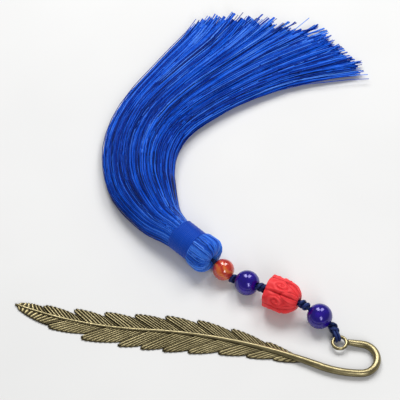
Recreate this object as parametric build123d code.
from build123d import *
import os
from math import acos, asin, atan2, ceil, cos, degrees, pi, radians, sin, sqrt, tan

# A cast feather bookmark with a knotted cord, four beads and a tassel, lying on a flat surface.
# Millimetres and degrees. The feather runs along X, its flat back lies on z = 0,
# and the origin is on that back, under the quill, about half way along the blade.

# Quill: a chain of tangent arcs from the tip, to the left, to the right and to the left again
TIP_X = -45.6
TIP_Y = -0.25
TIP_HEADING = -9.1
TIP_ARC_RADIUS = 125.0
TIP_ARC_LENGTH = 43.3
CREST_ARC_RADIUS = 154.0
CREST_ARC_LENGTH = 56.7
STEM_ARC_RADIUS = 33.3
STEM_ARC_LENGTH = 13.8
QUILL_TIP_DIAMETER = 0.9
STEM_DIAMETER = 2.4
QUILL_LIFT = 0.12
QUILL_SECTIONS = 9

# Crook and eye
CROOK_RADIUS = 5.35
CROOK_TURN = 174.0
ARM_LENGTH = 4.4
ARM_END_DIAMETER = 1.9
EYE_RADIUS = 2.2
EYE_WIRE = 1.1
EYE_HEIGHT = 1.7
EYE_SIDE_STEP = 0.5
EYE_WELD = 0.25

# Blade: lobes of barbs that lean towards the tip, as (root along the blade, reach from the quill)
BLADE_LENGTH = 95.0
LOWER_HALF_WIDTH = 7.4
UPPER_HALF_WIDTH = 6.1
BARB_ANGLE = 30.0
TIP_LOBE_REACH = 1.3
TIP_LOBE_START = 1.6
BLADE_EDGE_HEIGHT = 0.65
LOBE_STEP = 0.3
LOBE_NARROWING_SHARE = 0.82
LOBE_ROUNDING_SHARE = 0.3
LOBE_BULGE_SHARE = 0.05
QUILL_OVERLAP = 0.3
LOWER_LOBE_SHARES = [(0.20, 0.62), (0.34, 0.82), (0.48, 0.91), (0.56, 0.96), (0.64, 1.0),
                     (0.72, 0.96), (0.80, 0.76), (0.88, 0.62), (0.945, 0.42)]
UPPER_LOBE_SHARES = [(0.135, 0.5), (0.265, 0.74), (0.385, 0.87), (0.50, 0.95), (0.61, 1.0),
                     (0.71, 0.96), (0.81, 0.80), (0.905, 0.52)]

# Cord and knots
CORD_DIAMETER = 0.9
DOUBLED_CORD_DIAMETER = 1.9
LOOP_RADIUS = 1.18
LOOP_SPREAD = 0.96
LOOP_LENGTH = 6.27
LOOP_HEADING = 123.4
LOOP_KNOT_HEIGHT = 2.6
LEG_TUCK = 0.6
KNOT_DIAMETER = 2.6
KNOT_PITCH = 1.5
KNOT_CLEARANCE = 0.08
KNOT_NEST = 1.0
END_KNOT_DIAMETER = 3.2
LOOP_LUMPS = 2
FIRST_LUMPS = 2
RED_LUMPS = 2
SECOND_LUMPS = 1
END_LUMPS = 1

# Beads
BEAD_DIAMETER = 8.2
RED_BEAD_DIAMETER = 11.2
RED_BEAD_LENGTH = 10.7
RED_BEAD_COLLAR = 4.4
RED_BEAD_RIM = 10.4
RED_BEAD_PETALS = 6
PETAL_GROOVE_DIAMETER = 2.0
PETAL_GROOVE_DEPTH = 0.55
SMALL_BEAD_DIAMETER = 7.1
BORE_CLEARANCE = 0.1
TABLE_CLEARANCE = 0.03
RED_BEAD_LIFT = 0.36
FIRST_GAP = 4.1
SECOND_GAP = 4.1
THIRD_GAP = 2.3
HEAD_GAP = 1.2

# Directions of the string's stretches, seen from above
FIRST_HEADING = 162.6
RED_HEADING = 166.8
SECOND_HEADING = 162.6
SMALL_HEADING = 156.5
TASSEL_HEADING = 150.8

# Tassel head, neck and binding
HEAD_DIAMETER = 12.5
HEAD_LENGTH = 6.8
HEAD_ROUNDING = 1.5
END_KNOT_DEPTH = 1.9
HEAD_SWING = 30.0
SWING_MARGIN = 4.0
NECK_LENGTH = 8.5
NECK_DIAMETER = 9.8
BINDING_THREAD = 0.5
BINDING_PITCH = 0.96
BINDING_SEAT = 0.05
BINDING_END_MARGIN = 0.35
LEAST_BINDING_GAP = 0.4
SAMPLES_PER_TURN = 36

# Skirt: stations down its middle line, turned from the tassel's heading
SKIRT_BALL_DIAMETER = 8.6
SKIRT_BALL_CLEARANCE = 0.12
SKIRT_START = 2.4
SKIRT_START_DIAMETER = 9.4
SKIRT_LOCKS = 16
LOCK_GROOVE_SHARE = 0.93
SKIRT_RUNS = [7.35, 10.6, 9.1, 12.6, 14.6, 18.7, 23.3, 24.0]
SKIRT_TURNS = [-18.0, -7.0, -15.0, -18.0, -23.0, -14.0, 2.0, 1.0]
SKIRT_WIDTHS = [15.0, 21.0, 23.5, 25.5, 27.5, 33.0, 45.5, 76.0]
SKIRT_HEIGHTS = [9.6, 8.6, 7.8, 7.0, 6.2, 5.4, 4.4, 3.6]
CUT_END_RADIUS = 62.5
CUT_END_SETBACK = 6.0
CUT_END_SKEW = 26.5
CUT_END_TEETH = 17
CUT_END_RAGGED = 3.0
CUT_END_SPREAD = 80.0
BLOCK_REACH = 200.0
BLOCK_TURNS = [100.0, 140.0, 220.0, 260.0]

# One overrun serves all cuts
OVERRUN = 20.0

os.makedirs("parts", exist_ok=True)


def direction(heading, rise=0.0):
    """Unit vector that points along a heading, seen from above, and rises by an angle."""
    level = cos(radians(rise))
    return Vector(level * cos(radians(heading)), level * sin(radians(heading)), sin(radians(rise)))


def across(point, way):
    """Plane through a point, square to a way, with its X axis level."""
    return Plane(origin=point, x_dir=Vector(0, 0, 1).cross(way), z_dir=way)


def rod(start, end, diameter):
    """Round rod between two points."""
    way = (end - start).normalized()
    size = (end - start).length
    return across(start, way) * Cylinder(diameter / 2, size, align=(Align.CENTER, Align.CENTER, Align.MIN))


def ball(centre, diameter):
    return Pos(centre) * Sphere(diameter / 2)


# The quill's line, as arcs of (radius, length), a right-hand arc with a negative radius
QUILL_ARCS = [(TIP_ARC_RADIUS, TIP_ARC_LENGTH), (-CREST_ARC_RADIUS, CREST_ARC_LENGTH),
              (STEM_ARC_RADIUS, STEM_ARC_LENGTH)]
QUILL_LENGTH = TIP_ARC_LENGTH + CREST_ARC_LENGTH


def quill_at(distance):
    """Place and heading of the quill's line at a distance from the tip."""
    x, y, heading = TIP_X, TIP_Y, radians(TIP_HEADING)
    for radius, length in QUILL_ARCS:
        run = min(distance, length)
        turned = heading + run / radius
        x += radius * (sin(turned) - sin(heading))
        y -= radius * (cos(turned) - cos(heading))
        heading = turned
        distance -= run
    return x, y, degrees(heading)


def beside_quill(distance, offset):
    """Point in plan at a distance along the quill and an offset to its left."""
    x, y, heading = quill_at(distance)
    side = direction(heading + 90)
    return Vector(x + offset * side.X, y + offset * side.Y, 0)


def quill_diameter(distance):
    """The quill stays slim along the blade and swells to the stem at its foot."""
    return QUILL_TIP_DIAMETER + (STEM_DIAMETER - QUILL_TIP_DIAMETER) * (distance / QUILL_LENGTH) ** 3


def quill_height(distance):
    """Height of the quill's middle, which is lifted just clear of the blade's back."""
    return quill_diameter(distance) / 2 + QUILL_LIFT


def blade_lobe(root, tip, back, foot, root_height, foot_height):
    """One lobe of barbs: its outline in plan, cut by a plane that slopes to the edge and to the back."""
    cut = LOBE_ROUNDING_SHARE * min((back - tip).length, (tip - root).length)
    before = tip + (root - tip).normalized() * cut
    after = tip + (back - tip).normalized() * cut
    outwards = (tip - root).cross(back - tip).cross(back - tip).normalized()
    bulge = (after + back) * 0.5 - outwards * (LOBE_BULGE_SHARE * (back - after).length)
    edges = [Edge.make_line(root, before),
             Edge.make_tangent_arc(before, tip - before, after),
             Edge.make_three_point_arc(after, bulge, back),
             Edge.make_line(back, foot),
             Edge.make_line(foot, root)]
    outline = Face(Wire(edges))
    block = extrude(outline, amount=STEM_DIAMETER + OVERRUN, dir=(0, 0, 1))
    high_root = root + Vector(0, 0, root_height)
    edge = tip + Vector(0, 0, BLADE_EDGE_HEIGHT)
    low_root = foot + Vector(0, 0, foot_height)
    normal = (edge - high_root).cross(low_root - high_root).normalized()
    if normal.Z < 0:
        normal = normal * -1
    slope = Plane(origin=high_root, z_dir=normal)
    return split(block, bisect_by=slope, keep=Keep.BOTTOM)


def blade_side(side, half_width, lobe_shares):
    """All the lobes of one side, from the tip to the stem. Neighbours share the line of their walls."""
    lean = 1 / tan(radians(BARB_ANGLE))
    runs = [0] + [share * BLADE_LENGTH for share, _ in lobe_shares] + [BLADE_LENGTH]
    reaches = [TIP_LOBE_REACH] + [share * half_width for _, share in lobe_shares]
    roots = [beside_quill(run, -side * QUILL_OVERLAP) for run in runs]
    tips = [beside_quill(TIP_LOBE_START, side * TIP_LOBE_REACH)]
    tips += [beside_quill(run - reach * lean, side * reach) for run, reach in zip(runs[1:], reaches[1:])]
    lobes = []
    for number, tip in enumerate(tips):
        root, foot = roots[number], roots[number + 1]
        back = beside_quill(BLADE_LENGTH, side * QUILL_OVERLAP)
        if number + 1 < len(tips):
            reach = reaches[number + 1] if number == 0 else min(reaches[number], reaches[number + 1])
            back = foot + (tips[number + 1] - foot) * (LOBE_NARROWING_SHARE * reach / reaches[number + 1])
        lobes.append(blade_lobe(root, tip, back, foot, quill_height(runs[number]),
                                quill_height(runs[number + 1]) - LOBE_STEP))
    return lobes


def quill_section(distance):
    """Round section of the quill."""
    x, y, heading = quill_at(distance)
    centre = Vector(x, y, quill_height(distance))
    return across(centre, direction(heading)) * Circle(quill_diameter(distance) / 2)


def make_feather():
    """The casting: blade, quill, stem, crook, arm and eye in one."""
    lobes = blade_side(-1, LOWER_HALF_WIDTH, LOWER_LOBE_SHARES)
    lobes += blade_side(1, UPPER_HALF_WIDTH, UPPER_LOBE_SHARES)
    steps = [QUILL_LENGTH * number / (QUILL_SECTIONS - 1) for number in range(QUILL_SECTIONS)]
    quill = loft([quill_section(step) for step in steps])
    x, y, heading = quill_at(QUILL_LENGTH)
    start = Vector(x, y, STEM_DIAMETER / 2 + QUILL_LIFT)
    stem = JernArc(start, direction(heading), STEM_ARC_RADIUS, degrees(STEM_ARC_LENGTH / STEM_ARC_RADIUS))
    crook = JernArc(stem @ 1, stem % 1, CROOK_RADIUS, CROOK_TURN)
    bend = sweep(across(start, direction(heading)) * Circle(STEM_DIAMETER / 2), path=stem + crook)
    arm = loft([across(ARM_START, direction(ARM_HEADING)) * Circle(STEM_DIAMETER / 2),
                across(ARM_END, ARM_WAY) * Circle(ARM_END_DIAMETER / 2)])
    eye = Pos(EYE_CENTRE) * Torus(EYE_RADIUS, EYE_WIRE / 2)
    return lobes[0].fuse(*lobes[1:], quill, bend, arm, eye).clean()


# Places of the arm and the eye, worked out along the stem and the crook
STEM_END_X, STEM_END_Y, STEM_END_HEADING = quill_at(QUILL_LENGTH + STEM_ARC_LENGTH)
ARM_HEADING = STEM_END_HEADING + CROOK_TURN
STEM_END = Vector(STEM_END_X, STEM_END_Y, STEM_DIAMETER / 2 + QUILL_LIFT)
CROOK_CENTRE = STEM_END + direction(STEM_END_HEADING + 90) * CROOK_RADIUS
ARM_START = CROOK_CENTRE + direction(ARM_HEADING - 90) * CROOK_RADIUS
ARM_LEVEL_END = ARM_START + direction(ARM_HEADING) * ARM_LENGTH
ARM_END = Vector(ARM_LEVEL_END.X, ARM_LEVEL_END.Y, EYE_HEIGHT)
ARM_WAY = (ARM_END - ARM_START).normalized()
EYE_SIDE = direction(ARM_HEADING + 90) * EYE_SIDE_STEP
EYE_REACH = direction(ARM_HEADING) * (EYE_RADIUS + EYE_WIRE / 2 - EYE_WELD)
EYE_CENTRE = ARM_END + EYE_REACH + EYE_SIDE

# Places along the string. Each bead lies on the table, so the stretches rise and fall a little.
BORE_DIAMETER = DOUBLED_CORD_DIAMETER + 2 * BORE_CLEARANCE
BEAD_HALF = sqrt((BEAD_DIAMETER / 2) ** 2 - (BORE_DIAMETER / 2) ** 2)
SMALL_HALF = sqrt((SMALL_BEAD_DIAMETER / 2) ** 2 - (BORE_DIAMETER / 2) ** 2)
RED_HALF = RED_BEAD_LENGTH / 2


def rise_to(start, height, distance):
    """Angle at which a stretch from a point reaches a height after a distance."""
    return degrees(asin((height - start.Z) / distance))


LOOP_WAY = direction(LOOP_HEADING)
LOOP_KNOT = EYE_CENTRE + LOOP_WAY * LOOP_LENGTH
LOOP_KNOT = Vector(LOOP_KNOT.X, LOOP_KNOT.Y, LOOP_KNOT_HEIGHT)

FIRST_REACH = KNOT_NEST + BEAD_HALF
FIRST_WAY = direction(FIRST_HEADING, rise_to(LOOP_KNOT, BEAD_DIAMETER / 2 + TABLE_CLEARANCE, FIRST_REACH))
FIRST_BEAD = LOOP_KNOT + FIRST_WAY * FIRST_REACH
FIRST_KNOT = FIRST_BEAD + FIRST_WAY * (BEAD_HALF + FIRST_GAP - KNOT_NEST)

RED_REACH = KNOT_NEST + RED_HALF
RED_HEIGHT = RED_BEAD_DIAMETER / 2 + TABLE_CLEARANCE + RED_BEAD_LIFT
RED_WAY = direction(RED_HEADING, rise_to(FIRST_KNOT, RED_HEIGHT, RED_REACH))
RED_BEAD = FIRST_KNOT + RED_WAY * RED_REACH
RED_KNOT = RED_BEAD + RED_WAY * (RED_HALF + SECOND_GAP - KNOT_NEST)

SECOND_WAY = direction(SECOND_HEADING, rise_to(RED_KNOT, BEAD_DIAMETER / 2 + TABLE_CLEARANCE, FIRST_REACH))
SECOND_BEAD = RED_KNOT + SECOND_WAY * FIRST_REACH
SECOND_KNOT = SECOND_BEAD + SECOND_WAY * (BEAD_HALF + THIRD_GAP - KNOT_NEST)

SMALL_REACH = KNOT_NEST + SMALL_HALF
TASSEL_HEIGHT = HEAD_DIAMETER / 2 + TABLE_CLEARANCE
END_KNOT_REACH = SMALL_REACH + SMALL_HALF + HEAD_GAP + END_KNOT_DEPTH
SMALL_WAY = direction(SMALL_HEADING, rise_to(SECOND_KNOT, TASSEL_HEIGHT, END_KNOT_REACH))
SMALL_BEAD = SECOND_KNOT + SMALL_WAY * SMALL_REACH
END_KNOT = SECOND_KNOT + SMALL_WAY * END_KNOT_REACH

TASSEL_WAY = direction(TASSEL_HEADING)
HEAD_TOP = END_KNOT - TASSEL_WAY * END_KNOT_DEPTH
NECK_START = HEAD_TOP + TASSEL_WAY * HEAD_LENGTH
SKIRT_PIVOT = NECK_START + TASSEL_WAY * NECK_LENGTH


def loop_strand(shift):
    """One strand of the loop: from the knot, round the wire of the eye and back to the knot."""
    sideways = direction(LOOP_HEADING + 90) * shift
    wire = EYE_CENTRE + LOOP_WAY * EYE_RADIUS + sideways
    out = LOOP_LENGTH - EYE_RADIUS
    lift = LOOP_KNOT_HEIGHT - EYE_HEIGHT
    aim = atan2(lift, out)
    spread = acos(LOOP_RADIUS / sqrt(out ** 2 + lift ** 2))

    def round_wire(angle):
        return wire + LOOP_WAY * (LOOP_RADIUS * cos(angle)) + Vector(0, 0, LOOP_RADIUS * sin(angle))

    knot = LOOP_KNOT + sideways
    over = round_wire(aim + spread)
    inside = round_wire(aim + pi)
    under = round_wire(aim - spread)
    leg = (over - knot).length
    upper_end = knot + (over - knot) * (LEG_TUCK / leg)
    lower_end = knot + (under - knot) * (LEG_TUCK / leg)
    path = Wire([Edge.make_line(upper_end, over), Edge.make_three_point_arc(over, inside, under),
                 Edge.make_line(under, lower_end)])
    section = across(upper_end, (over - upper_end).normalized()) * Circle(CORD_DIAMETER / 2)
    return sweep(section, path=path)


def knot_row(last, way, diameter, count):
    """Lumps of a knot, the last one at a point, the others behind it along the cord."""
    return [ball(last - way * (KNOT_PITCH * number), diameter) for number in range(count)]


def make_eye_loop():
    strands = [loop_strand(-LOOP_SPREAD / 2), loop_strand(LOOP_SPREAD / 2)]
    knots = knot_row(LOOP_KNOT, (LOOP_KNOT - EYE_CENTRE).normalized(), KNOT_DIAMETER, LOOP_LUMPS)
    return strands[0].fuse(strands[1], *knots).clean()


def make_stretch(start, end, knot_diameter, lumps):
    """Doubled cord through a bead: hollowed round the knot it turns on, with its own knot at the end."""
    length = (end - start).length
    core = DOUBLED_CORD_DIAMETER / 2
    socket = KNOT_DIAMETER / 2 + KNOT_CLEARANCE
    lump = knot_diameter / 2

    def on_arc(middle, radius, angle):
        return (radius * sin(angle), middle + radius * cos(angle))

    rim = asin(core / socket)
    edges = [ThreePointArc((0, socket), on_arc(0, socket, rim / 2), on_arc(0, socket, rim))]
    angle = pi - asin(core / lump)
    waist = acos(KNOT_PITCH / 2 / lump)
    for number in range(lumps):
        middle = length - KNOT_PITCH * (lumps - 1 - number)
        last_angle = waist if number + 1 < lumps else 0
        first_point = on_arc(middle, lump, angle)
        if number == 0:
            edges.append(Line(edges[0] @ 1, first_point))
        edges.append(ThreePointArc(first_point, on_arc(middle, lump, (angle + last_angle) / 2),
                                   on_arc(middle, lump, last_angle)))
        angle = pi - waist
    edges.append(Line((0, length + lump), (0, socket)))
    profile = make_face(edges)
    return across(start, (end - start).normalized()) * revolve(Plane.XZ * profile, Axis.Z)


def make_round_bead(centre, way, diameter):
    bore = rod(centre - way * diameter, centre + way * diameter, BORE_DIAMETER)
    return ball(centre, diameter) - bore


def make_red_bead():
    """Carved bud: rounded towards the hook, a wide rim towards the tassel, petals parted by grooves."""
    belly = RED_BEAD_DIAMETER / 2
    collar = RED_BEAD_COLLAR / 2
    rim = RED_BEAD_RIM / 2
    rim_way = (-rim, belly + RED_HALF)
    side = Spline((collar, -RED_HALF), (belly, 0), (rim, RED_HALF), tangents=[(1, 0), rim_way])
    ends = Polyline((rim, RED_HALF), (0, RED_HALF), (0, -RED_HALF), (collar, -RED_HALF))
    profile = make_face(ends + side)
    bud = revolve(Plane.XZ * profile, Axis.Z)
    groove_radius = PETAL_GROOVE_DIAMETER / 2
    groove_place = belly + groove_radius - PETAL_GROOVE_DEPTH
    for number in range(RED_BEAD_PETALS):
        turn = 360 * (number + 0.5) / RED_BEAD_PETALS + 90
        centre = (groove_place * cos(radians(turn)), groove_place * sin(radians(turn)), 0)
        bud -= Pos(*centre) * Cylinder(groove_radius, RED_BEAD_LENGTH + OVERRUN)
    bud -= Cylinder(BORE_DIAMETER / 2, RED_BEAD_LENGTH + OVERRUN)
    return across(RED_BEAD, RED_WAY) * bud


def make_tassel_head():
    """Folded top of the strands: a rounded drum with a mouth for the cord, and the neck below it."""
    upright = (Align.CENTER, Align.CENTER, Align.MIN)
    drum = Cylinder(HEAD_DIAMETER / 2, HEAD_LENGTH, align=upright)
    drum = fillet(drum.edges().filter_by(GeomType.CIRCLE), HEAD_ROUNDING)
    neck = Pos(0, 0, HEAD_LENGTH - HEAD_ROUNDING) * Cylinder(
        NECK_DIAMETER / 2, NECK_LENGTH + HEAD_ROUNDING, align=upright)
    cavity = ball(Vector(0, 0, END_KNOT_DEPTH), END_KNOT_DIAMETER + 2 * KNOT_CLEARANCE)
    flare = tan(radians(HEAD_SWING + SWING_MARGIN))
    mouth_radius = DOUBLED_CORD_DIAMETER / 2 + BORE_CLEARANCE + END_KNOT_DEPTH * flare
    mouth = Cone(mouth_radius, DOUBLED_CORD_DIAMETER / 2, END_KNOT_DEPTH, align=upright)
    socket = ball(Vector(0, 0, HEAD_LENGTH + NECK_LENGTH), SKIRT_BALL_DIAMETER + 2 * SKIRT_BALL_CLEARANCE)
    head = drum + neck - cavity - mouth - socket
    return across(HEAD_TOP, TASSEL_WAY) * head


def biarc(start, start_way, end, end_way):
    """Two tangent arcs between two points with given ways."""
    chord = end - start
    ways = start_way + end_way
    squared = 2 * (1 - start_way.dot(end_way))
    mixed = chord.dot(ways)
    reach = (-mixed + sqrt(mixed ** 2 + squared * chord.dot(chord))) / squared
    middle = (start + end + (start_way - end_way) * reach) * 0.5
    return [Edge.make_tangent_arc(start, start_way, middle),
            Edge.make_tangent_arc(end, end_way * -1, middle)]


def helix_point(radius, pitch, turns, base):
    angle = 2 * pi * turns
    return Vector(radius * cos(angle), radius * sin(angle), base + pitch * turns)


def helix_way(radius, pitch, turns):
    angle = 2 * pi * turns
    return Vector(-radius * sin(angle), radius * cos(angle), pitch / (2 * pi)).normalized()


def least_gap(path, diameter, turns):
    """Least gap of a wound tube to itself, measured on points of its path half a turn or more apart."""
    count = ceil(turns * SAMPLES_PER_TURN)
    points = [path.position_at(number / count) for number in range(count + 1)]
    pairs = [(i, j) for i in range(count + 1) for j in range(i + SAMPLES_PER_TURN // 2, count + 1)]
    return min((points[i] - points[j]).length for i, j in pairs) - diameter


def make_binding():
    """Thread wound round the neck in one unbroken run, with straight ends."""
    radius = NECK_DIAMETER / 2 + BINDING_THREAD / 2 + BINDING_SEAT
    base = HEAD_LENGTH + BINDING_END_MARGIN + BINDING_THREAD / 2
    room = NECK_LENGTH - 2 * BINDING_END_MARGIN - BINDING_THREAD
    quarters = int(4 * room / BINDING_PITCH)
    edges = []
    for number in range(quarters):
        turns = number / 4
        edges += biarc(helix_point(radius, BINDING_PITCH, turns, base),
                       helix_way(radius, BINDING_PITCH, turns),
                       helix_point(radius, BINDING_PITCH, turns + 0.25, base),
                       helix_way(radius, BINDING_PITCH, turns + 0.25))
    first = helix_point(radius, BINDING_PITCH, 0, base)
    first_way = helix_way(radius, BINDING_PITCH, 0)
    last = helix_point(radius, BINDING_PITCH, quarters / 4, base)
    last_way = helix_way(radius, BINDING_PITCH, quarters / 4)
    lead = first - first_way * BINDING_THREAD
    edges = [Edge.make_line(lead, first)] + edges + [Edge.make_line(last, last + last_way * BINDING_THREAD)]
    path = Wire(edges)
    gap = least_gap(path, BINDING_THREAD, quarters / 4)
    print("binding turns", quarters / 4, "least gap", round(gap, 3), "over", LEAST_BINDING_GAP)
    thread = sweep(across(lead, first_way) * Circle(BINDING_THREAD / 2), path=path)
    ideal = pi * (BINDING_THREAD / 2) ** 2 * path.length
    print("binding volume over section times length", round(thread.volume / ideal, 4))
    return across(HEAD_TOP, TASSEL_WAY) * thread


def skirt_section(centre, heading, width, height, level):
    """Section of the skirt: an oval of locks parted by grooves, flat where it lies on the table."""
    side = direction(heading + 90)
    corners = []
    for number in range(2 * SKIRT_LOCKS):
        angle = pi * number / SKIRT_LOCKS
        depth = LOCK_GROOVE_SHARE if number % 2 else 1
        place = centre + side * (depth * width / 2 * cos(angle))
        z = max(level + depth * height / 2 * sin(angle), TABLE_CLEARANCE)
        corners.append(Vector(place.X, place.Y, z))
    return Wire.make_polygon(corners, close=True)


def make_skirt():
    """Free strands: a ball in the neck's socket, then a curved fan with a ragged cut end."""
    heading = TASSEL_HEADING
    centre = SKIRT_PIVOT + TASSEL_WAY * SKIRT_START
    sections = [skirt_section(centre, heading, SKIRT_START_DIAMETER, SKIRT_START_DIAMETER, TASSEL_HEIGHT)]
    for run, turn, width, height in zip(SKIRT_RUNS, SKIRT_TURNS, SKIRT_WIDTHS, SKIRT_HEIGHTS):
        heading += turn / 2
        centre = centre + direction(heading) * run
        heading += turn / 2
        sections.append(skirt_section(centre, heading, width, height, height / 2))
    fan = Solid.make_loft(sections, ruled=True)
    root = ball(SKIRT_PIVOT, SKIRT_BALL_DIAMETER)
    return (root + fan) & cut_end(centre, heading + CUT_END_SKEW)


def cut_end(middle, heading):
    """Block over the whole skirt, whose far side is the ragged arc that the strands were cut to."""
    centre = middle - direction(heading) * (CUT_END_RADIUS + CUT_END_SETBACK)
    corners = []
    for number in range(2 * CUT_END_TEETH + 1):
        angle = heading + CUT_END_SPREAD * (number / (2 * CUT_END_TEETH) - 0.5)
        reach = CUT_END_RADIUS - (CUT_END_RAGGED if number % 2 else 0)
        corners.append(centre + direction(angle) * reach)
    for turn in BLOCK_TURNS:
        corners.append(centre + direction(heading + turn) * BLOCK_REACH)
    flat = [Vector(corner.X, corner.Y, -OVERRUN) for corner in corners]
    outline = make_face(Polyline(*flat, close=True)).face()
    return extrude(outline, amount=HEAD_DIAMETER + 2 * OVERRUN, dir=(0, 0, 1))


def save(node, shape):
    export_step(shape, "parts/" + node + ".step")
    print(node, "volume", round(shape.volume, 1))


save("feather_casting", make_feather())
save("eye_loop_cord", make_eye_loop())
save("first_bead_cord", make_stretch(LOOP_KNOT, FIRST_KNOT, KNOT_DIAMETER, FIRST_LUMPS))
save("red_bead_cord", make_stretch(FIRST_KNOT, RED_KNOT, KNOT_DIAMETER, RED_LUMPS))
save("second_bead_cord", make_stretch(RED_KNOT, SECOND_KNOT, KNOT_DIAMETER, SECOND_LUMPS))
save("small_bead_cord", make_stretch(SECOND_KNOT, END_KNOT, END_KNOT_DIAMETER, END_LUMPS))
save("first_blue_bead", make_round_bead(FIRST_BEAD, FIRST_WAY, BEAD_DIAMETER))
save("red_carved_bead", make_red_bead())
save("second_blue_bead", make_round_bead(SECOND_BEAD, SECOND_WAY, BEAD_DIAMETER))
save("small_agate_bead", make_round_bead(SMALL_BEAD, SMALL_WAY, SMALL_BEAD_DIAMETER))
save("tassel_head", make_tassel_head())
save("neck_binding", make_binding())
save("tassel_skirt", make_skirt())
for name, place in [("crook centre", CROOK_CENTRE), ("eye", EYE_CENTRE), ("loop knot", LOOP_KNOT),
                    ("first bead", FIRST_BEAD), ("first knot", FIRST_KNOT), ("red bead", RED_BEAD),
                    ("red knot", RED_KNOT), ("second bead", SECOND_BEAD), ("second knot", SECOND_KNOT),
                    ("small bead", SMALL_BEAD), ("end knot", END_KNOT), ("skirt pivot", SKIRT_PIVOT)]:
    print(name, round(place.X, 4), round(place.Y, 4), round(place.Z, 4))
for name, way in [("first way", FIRST_WAY), ("red way", RED_WAY), ("second way", SECOND_WAY),
                  ("small way", SMALL_WAY)]:
    print(name, round(way.X, 6), round(way.Y, 6), round(way.Z, 6))
